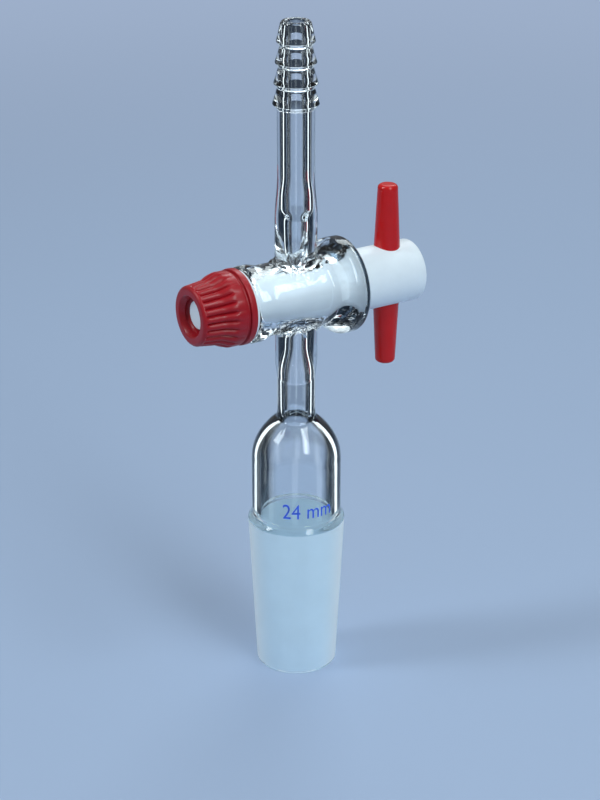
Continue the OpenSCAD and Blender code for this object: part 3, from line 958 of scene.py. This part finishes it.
class STOPCOCK_OT_size_mark(Operator):
    """Prints the cone's plain size on the glass above the ground cone"""

    bl_idname = "stopcock.size_mark"
    bl_label = "Size Mark"

    def execute(self, context):
        g, mark = context.scene.stopcock_glass, context.scene.stopcock_mark
        letters = bpy.data.curves.new("size_mark", "FONT")
        letters.body = mark.words
        letters.align_x = "CENTER"
        letters.size = mark.height / FIGURE_SHARE
        letters.extrude = mark.ink / 2
        holder = add_object("size_mark_letters", letters)
        solid = evaluated(holder)
        bpy.data.objects.remove(holder)
        bpy.data.curves.remove(letters)
        bmesh.ops.remove_doubles(solid, verts=solid.verts, dist=MERGE)
        cuts = int(max(vert.co.x for vert in solid.verts) / LETTER_SPACING)
        for k in range(-cuts, cuts + 1):
            geometry = solid.verts[:] + solid.edges[:] + solid.faces[:]
            bmesh.ops.bisect_plane(solid, geom=geometry, dist=MERGE, plane_no=(1, 0, 0),
                                   plane_co=(k * LETTER_SPACING, 0, 0))
        for vert in solid.verts:
            height = mark.foot_z + vert.co.y
            radius = g.body_d / 2 + mark.ink / 2 + vert.co.z
            turn = mark.turn + mark.narrow * vert.co.x / (g.body_d / 2)
            vert.co = (radius * math.cos(turn), radius * math.sin(turn), height)
        bmesh.ops.recalc_face_normals(solid, faces=solid.faces)
        ink = printed_ink(context.scene.stopcock_finishes)
        add_piece("size_mark", solid, [ink], "glass")
        return {"FINISHED"}


# The plug, the handle, the seals and the nut

def thread_share(p, point):
    """How deep the thread is cut at a point, from 0 on its crest to 1 at its root."""
    turn = math.atan2(point.y, point.z - BARREL_Z) / math.tau
    wave = math.cos(math.tau * (-point.x / p.thread_pitch - turn))
    return clamped(0.5 + THREAD_STEEPNESS * wave)


def set_radius(point, radius):
    """Moves a point to a new radius about the barrel's line."""
    scale = radius / from_barrel(point)
    point.y *= scale
    point.z = BARREL_Z + (point.z - BARREL_Z) * scale


class STOPCOCK_OT_plug(Operator):
    """Turns the tapered plug with its head and cuts the thread, the flats and the flow bore"""

    bl_idname = "stopcock.plug"
    bl_label = "Plug"

    def execute(self, context):
        g, p, h = (context.scene.stopcock_glass, context.scene.stopcock_plug,
                   context.scene.stopcock_handle)
        tail_r, tail_end, head_end = p.tail_d / 2, -PLUG_LOW.x, PLUG_HIGH.x
        taper_stop = g.nut_end - p.draw_in
        taper_r, head_r = plug_r(p, -taper_stop), plug_r(p, g.handle_end)
        thread = spaced((tail_r, p.tail_edge - tail_end), (tail_r, -taper_stop - CUT), TAIL_SPACING)
        outline = [(0, -tail_end), (tail_r - p.tail_edge, -tail_end), (tail_r, p.tail_edge - tail_end),
                   *thread, (tail_r, -taper_stop),
                   *round_foot(taper_r, -taper_stop, SOFT_EDGE, CORNER_STEPS),
                   (head_r, g.handle_end),
                   *round_top(head_r, head_end, p.head_edge),
                   (0, head_end)]
        solid = on_barrel(turned(outline, PLUG_SIDES))
        for vert in solid.verts:
            on_thread = -tail_end + p.tail_edge / 2 < vert.co.x < -taper_stop - CUT / 2
            if on_thread and from_barrel(vert.co) > tail_r - SLACK:
                fade = min(1.0, (-taper_stop - vert.co.x) / (2 * CUT))
                set_radius(vert.co, tail_r - p.thread_depth * thread_share(p, vert.co) * fade)
        reach = 2 * head_r
        cutters = [placed(rod(diameter, -reach, reach), Matrix.Translation((x, 0, BARREL_Z)))
                   for diameter, x in ((h.bar_d, HANDLE_X), (p.flow_bore, 0))]
        flat_y, foot, top = p.tail_flats / 2, BARREL_Z - p.tail_d, BARREL_Z + p.tail_d
        cutters += [block((-tail_end - CUT, low, foot), (-taper_stop, high, top))
                    for low, high in ((-flat_y - p.tail_d, -flat_y), (flat_y, flat_y + p.tail_d))]
        solid = combined(solid, *[("DIFFERENCE", cutter) for cutter in cutters])
        piece = add_piece("turned_plug", solid, [turned_white(context.scene.stopcock_finishes)],
                          "plug")
        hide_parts("stopcock_plug")
        return {"FINISHED"}


class STOPCOCK_OT_handle(Operator):
    """Moulds the two tapered arms and the bar that joins them through the plug's head"""

    bl_idname = "stopcock.handle"
    bl_label = "Handle"

    def execute(self, context):
        g, p, h = (context.scene.stopcock_glass, context.scene.stopcock_plug,
                   context.scene.stopcock_handle)
        reach = (HANDLE_HIGH.z - HANDLE_LOW.z) / 2
        root_r, tip_r = h.arm_root_d / 2, h.arm_tip_d / 2
        upper = [*round_top(tip_r, reach, h.arm_edge), (0, reach)]
        lower = [(radius, -height) for radius, height in reversed(upper)]
        head_r = plug_r(p, g.handle_end)
        place = Matrix.Translation((HANDLE_X, 0, BARREL_Z))
        solid = combined(
            placed(turned([*lower, (root_r, 0), *upper], ARM_SIDES), place),
            ("DIFFERENCE", on_barrel(rod(2 * (head_r + h.bar_gap), 0, 2 * PLUG_HIGH.x, PLUG_SIDES))),
            ("UNION", placed(rod(h.bar_d - 2 * h.bar_gap, -head_r - CUT / 2, head_r + CUT / 2), place)))
        red = moulded_red("handle_red", context.scene.stopcock_finishes.handle_red, (0.12, 0.2))
        piece = add_piece("moulded_handle", solid, [red], "plug")
        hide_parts("handle")
        return {"FINISHED"}


class STOPCOCK_OT_seals(Operator):
    """Finishes the white washer and the black sealing ring behind the nut"""

    bl_idname = "stopcock.seals"
    bl_label = "Washer and Ring"

    def execute(self, context):
        finishes = context.scene.stopcock_finishes
        white = bpy.data.materials.get("turned_white") or turned_white(finishes)
        for node, material in (("washer", white), ("sealing_ring", ring_rubber(finishes))):
            for slot in frame["nodes"][node].material_slots:
                slot.material = material
        return {"FINISHED"}


def furrow(n, along, turn):
    """Depth of the furrows between the nut's ribs, at a distance from the flange."""
    start = n.flange_t + n.groove_w + FURROW_START * n.band_w
    end = NUT_LENGTH - FURROW_END * n.nose_edge
    rise = clamped((along - start) / (FURROW_RISE * n.band_w))
    fall = clamped((end - along) / n.nose_edge)
    ease = rise * rise * (3 - 2 * rise) * fall * fall * (3 - 2 * fall)
    return n.rib_h * ease * (1 - abs(math.sin(n.rib_count * turn / 2))) ** FURROW_POWER


class STOPCOCK_OT_nut(Operator):
    """Moulds the ribbed nut with its flange, its threaded bore and its countersunk mouth"""

    bl_idname = "stopcock.nut"
    bl_label = "Tension Nut"

    def execute(self, context):
        p, n = context.scene.stopcock_plug, context.scene.stopcock_nut
        flange_r, grip_r, nose_r = (NUT_HIGH.y - NUT_LOW.y) / 2, n.grip_d / 2, n.nose_d / 2
        bore_r, seat_depth = p.tail_d / 2 + p.thread_gap, n.ring_seat_depth
        groove_r = grip_r - n.groove_depth
        band_start = n.flange_t + n.groove_w
        band_end = band_start + n.band_w
        waist_end = band_end + n.waist_len
        flange = soften([(n.ring_seat_d / 2, 0), (flange_r, 0), (flange_r, n.flange_t),
                         (groove_r, n.flange_t), (groove_r, band_start), (grip_r, band_start),
                         (grip_r, band_end)], n.flange_edge)
        nose_start, thread_end = NUT_LENGTH - n.nose_edge, NUT_LENGTH - n.mouth_depth
        mouth = [(n.mouth_d / 2 + CUT, NUT_LENGTH), (n.mouth_d / 2, NUT_LENGTH), (bore_r, thread_end)]
        outline = [*flange[:-1],
                   *swell((grip_r, band_end), (n.waist_d / 2, waist_end)),
                   *spaced((n.waist_d / 2, waist_end), (nose_r, nose_start), RIB_SPACING)[:-1],
                   *round_top(nose_r, NUT_LENGTH, n.nose_edge),
                   *soften(mouth, SOFT_EDGE)[1:],
                   *spaced((bore_r, thread_end), (bore_r, seat_depth), NUT_THREAD_SPACING),
                   (n.ring_seat_d / 2, seat_depth)]
        solid = turned(outline, n.rib_count * SIDES_PER_RIB, closed=True)
        for vert in solid.verts:
            radius = vert.co.xy.length
            if radius > n.mouth_d / 2 + FURROW_MARGIN and vert.co.z > band_start:
                depth = furrow(n, vert.co.z, math.atan2(vert.co.y, vert.co.x))
                vert.co.xy *= (radius - depth) / radius
        on_barrel(solid, NUT_HIGH.x, -1)
        for vert in solid.verts:
            if from_barrel(vert.co) < bore_r + SLACK:
                share = thread_share(p, vert.co)
                engaged = clamped((vert.co.x - PLUG_LOW.x) / CUT)
                lead_in = LEAD_IN * (1 - share) * (1 - engaged)
                set_radius(vert.co, bore_r - p.thread_depth * share * engaged + lead_in)
        red = moulded_red("nut_red", context.scene.stopcock_finishes.nut_red, (0.28, 0.4))
        piece = add_piece("ribbed_nut", solid, [red], "nut")
        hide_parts("tension_nut")
        return {"FINISHED"}


# The stage

def seen_through_glass(tree, vector):
    """Which rays look through glass, the strips' share for them, and the strips' tone.

    Rays that left a dull surface don't count, so that the strips are seen but light nothing.
    """
    path = tree.nodes.new("ShaderNodeLightPath")
    direct = calculate(tree, "LESS_THAN", path.outputs["Diffuse Depth"], 0.5)
    crossed = calculate(tree, "MULTIPLY", path.outputs["Is Transmission Ray"], direct)
    mirrored = calculate(tree, "GREATER_THAN", path.outputs["Glossy Depth"], 0.5)
    bore, wall = (add_group(tree, studio_strips(), **angles) for angles in (BORE_STRIPS, WALL_STRIPS))
    for strips in (bore, wall):
        tree.links.new(vector, strips.inputs["Vector"])
    bright = calculate(tree, "MULTIPLY", wall.outputs["Strip"], mirrored)
    share = calculate(tree, "MAXIMUM", bore.outputs["Strip"], mirrored)
    return crossed, share, mixed_colour(tree, bright, STRIP_DARK, STRIP_BRIGHT)


def floor_darkness(tree, reach, ray_length):
    """Share of the dark ring on the floor, and of the dark patch for rays that left the glass high up.

    The height that a ray came from follows from its length and its distance from the flow line.
    """
    inside = remapped(tree, reach, *RING_INSIDE, 0.0, RING_SHARE, smooth=True)
    outside = remapped(tree, reach, *RING_OUTSIDE, 1.0, 0.0, smooth=True)
    squares = [calculate(tree, "POWER", side, 2.0) for side in (ray_length, reach)]
    start = calculate(tree, "SQRT", calculate(tree, "SUBTRACT", *squares))
    high = remapped(tree, start, *PATCH_HEIGHTS, 0.0, PATCH_SHARE, smooth=True)
    near = remapped(tree, reach, *PATCH_OUTSIDE, 1.0, 0.0, smooth=True)
    ring, patch = (calculate(tree, "MULTIPLY", *pair) for pair in ((inside, outside), (high, near)))
    return calculate(tree, "MAXIMUM", ring, patch)


def studio_floor(finishes):
    """A pale floor that fades into the plain backdrop far away, and shows strips to glass."""
    material, tree, shader = new_material("studio_floor", roughness=0.7, ior=1.3)
    grain = add_group(tree, handled_grain(), mottle_scale=3)
    tint = mixed_colour(tree, grain.outputs["Mottle"], shaded(finishes.floor, 0.985), finishes.floor)
    tree.links.new(tint, shader.inputs["Base Color"])
    place = tree.nodes.new("ShaderNodeTexCoord").outputs["Object"]
    crossed, share, tone = seen_through_glass(tree, place)
    path = tree.nodes.new("ShaderNodeLightPath")
    distance = add_node(tree, "ShaderNodeVectorMath", operation="LENGTH")
    tree.links.new(place, distance.inputs[0])
    reach = distance.outputs["Value"]
    dark = floor_darkness(tree, reach, path.outputs["Ray Length"])
    shown = calculate(tree, "MULTIPLY", crossed, calculate(tree, "MAXIMUM", share, dark))
    away = remapped(tree, reach, *STRIPS_START, 0.0, 1.0, smooth=True)
    looked_at = calculate(tree, "MAXIMUM", path.outputs["Is Camera Ray"], crossed)
    far = remapped(tree, reach, *BACKDROP_FADE, 0.0, 1.0, smooth=True)
    surface = shader.outputs[0]
    for factors, light_tone in (((far, looked_at), finishes.floor), ((shown, away), tone)):
        light = tree.nodes.new("ShaderNodeEmission")
        feed(tree, [light.inputs["Color"]], [light_tone])
        surface = mixed_shader(tree, calculate(tree, "MULTIPLY", *factors), surface, light.outputs[0])
    tree.links.new(surface, tree.nodes["Material Output"].inputs["Surface"])
    return material


def studio_room(scene, finishes, fill):
    """Even room light, with the same strips for rays that come from glass."""
    world = bpy.data.worlds.new("studio_room")
    scene.world = world
    world.use_nodes = True
    tree = world.node_tree
    place = tree.nodes.new("ShaderNodeTexCoord").outputs["Generated"]
    crossed, share, tone = seen_through_glass(tree, place)
    parts = tree.nodes.new("ShaderNodeSeparateXYZ")
    tree.links.new(place, parts.inputs[0])
    high = remapped(tree, parts.outputs["Z"], *SKY_RISE, 0.0, 1.0, smooth=True)
    low = remapped(tree, parts.outputs["Z"], *STRIPS_END, 1.0, 0.0, smooth=True)
    plain = mixed_colour(tree, high, finishes.floor, SKY_TONE)
    glass_tone = mixed_colour(tree, calculate(tree, "MULTIPLY", share, low), plain, tone)
    path = tree.nodes.new("ShaderNodeLightPath")
    room = tree.nodes["Background"]
    feed(tree, room.inputs, (ROOM_TONE, fill))
    surface = room.outputs[0]
    for chosen, view_tone in ((crossed, glass_tone), (path.outputs["Is Camera Ray"], finishes.floor)):
        view = tree.nodes.new("ShaderNodeBackground")
        feed(tree, [view.inputs["Color"]], [view_tone])
        surface = mixed_shader(tree, chosen, surface, view.outputs[0])
    tree.links.new(surface, tree.nodes["World Output"].inputs["Surface"])


def add_lamp(name, turn, rise, roll, distance, size, glow):
    """A soft lamp that faces the barrel, placed by its compass angle and its rise, and rolled."""
    lamp = bpy.data.lights.new(name, "AREA")
    lamp.shape = "RECTANGLE"
    lamp.size, lamp.size_y = size
    lamp.energy = glow * math.pi * size[0] * size[1]
    lamp.color = LAMP_TINT
    out = Vector((math.cos(rise) * math.cos(turn), math.cos(rise) * math.sin(turn), math.sin(rise)))
    holder = add_object(name, lamp)
    holder.location = Vector((0, 0, BARREL_Z)) + out * distance
    holder.rotation_mode = "QUATERNION"
    holder.rotation_quaternion = out.to_track_quat("Z", "Y") @ Quaternion((0, 0, 1), roll)
    holder.visible_camera = False


class STOPCOCK_OT_stage(Operator):
    """Sets up the floor, the room, the lamps and the camera"""

    bl_idname = "stopcock.stage"
    bl_label = "Stage"

    def execute(self, context):
        scene = context.scene
        stage, finishes = scene.stopcock_stage, scene.stopcock_finishes
        side = Vector((math.cos(stage.camera_turn), math.sin(stage.camera_turn), 0))
        back = Vector((side.y, -side.x, 0))
        front_turn = math.atan2(back.y, back.x)
        floor = bmesh.new()
        bmesh.ops.create_grid(floor, x_segments=1, y_segments=1, size=stage.floor_size)
        ground = add_object("studio_floor", floor)
        ground.data.materials.append(studio_floor(finishes))
        studio_room(scene, finishes, stage.fill)
        for name, angles, distance, size, share in LAMPS:
            turn, rise, roll = (math.radians(angle) for angle in angles)
            add_lamp(name, front_turn + turn, rise, roll, distance, size, stage.lamp_glow * share)
        camera = add_object("camera", bpy.data.cameras.new("camera"))
        camera.data.lens = stage.camera_lens
        camera.data.sensor_width = FRAME_WIDTH
        camera.location = back * stage.camera_back + side * stage.camera_side
        camera.location.z = stage.camera_up
        look = -back * math.cos(stage.camera_tilt) - Vector((0, 0, math.sin(stage.camera_tilt)))
        camera.rotation_mode = "QUATERNION"
        camera.rotation_quaternion = look.to_track_quat("-Z", "Y")
        scene.camera = camera
        scene.view_settings.view_transform = "Standard"
        return {"FINISHED"}


class VIEW3D_PT_stopcock(Panel):
    """Lists the pieces and their sizes"""

    bl_idname = "VIEW3D_PT_stopcock"
    bl_label = "Glass Stopcock"
    bl_space_type = "VIEW_3D"
    bl_region_type = "UI"
    bl_category = "Stopcock"

    def draw(self, context):
        for operator in OPERATORS:
            self.layout.operator(operator.bl_idname)
        for name, group in GROUPS:
            box = self.layout.box()
            box.label(text=group.__name__)
            settings = getattr(context.scene, name)
            for key in group.__annotations__:
                box.prop(settings, key)


GROUPS = (("stopcock_glass", GlassSizes), ("stopcock_plug", PlugSizes), ("stopcock_handle", HandleSizes),
          ("stopcock_nut", NutSizes), ("stopcock_mark", MarkSizes), ("stopcock_finishes", Finishes),
          ("stopcock_stage", StageSizes))
OPERATORS = (STOPCOCK_OT_glass, STOPCOCK_OT_size_mark, STOPCOCK_OT_plug, STOPCOCK_OT_handle,
             STOPCOCK_OT_seals, STOPCOCK_OT_nut, STOPCOCK_OT_stage)


def register():
    for name, group in GROUPS:
        bpy.utils.register_class(group)
        setattr(bpy.types.Scene, name, PointerProperty(type=group))
    for item in (*OPERATORS, VIEW3D_PT_stopcock):
        bpy.utils.register_class(item)


def unregister():
    for item in (VIEW3D_PT_stopcock, *reversed(OPERATORS)):
        bpy.utils.unregister_class(item)
    for name, group in reversed(GROUPS):
        delattr(bpy.types.Scene, name)
        bpy.utils.unregister_class(group)


def main():
    register()
    bpy.ops.stopcock.glass()
    bpy.ops.stopcock.size_mark()
    bpy.ops.stopcock.plug()
    bpy.ops.stopcock.handle()
    bpy.ops.stopcock.seals()
    bpy.ops.stopcock.nut()
    bpy.ops.stopcock.stage()


if __name__ == "__main__":
    main()
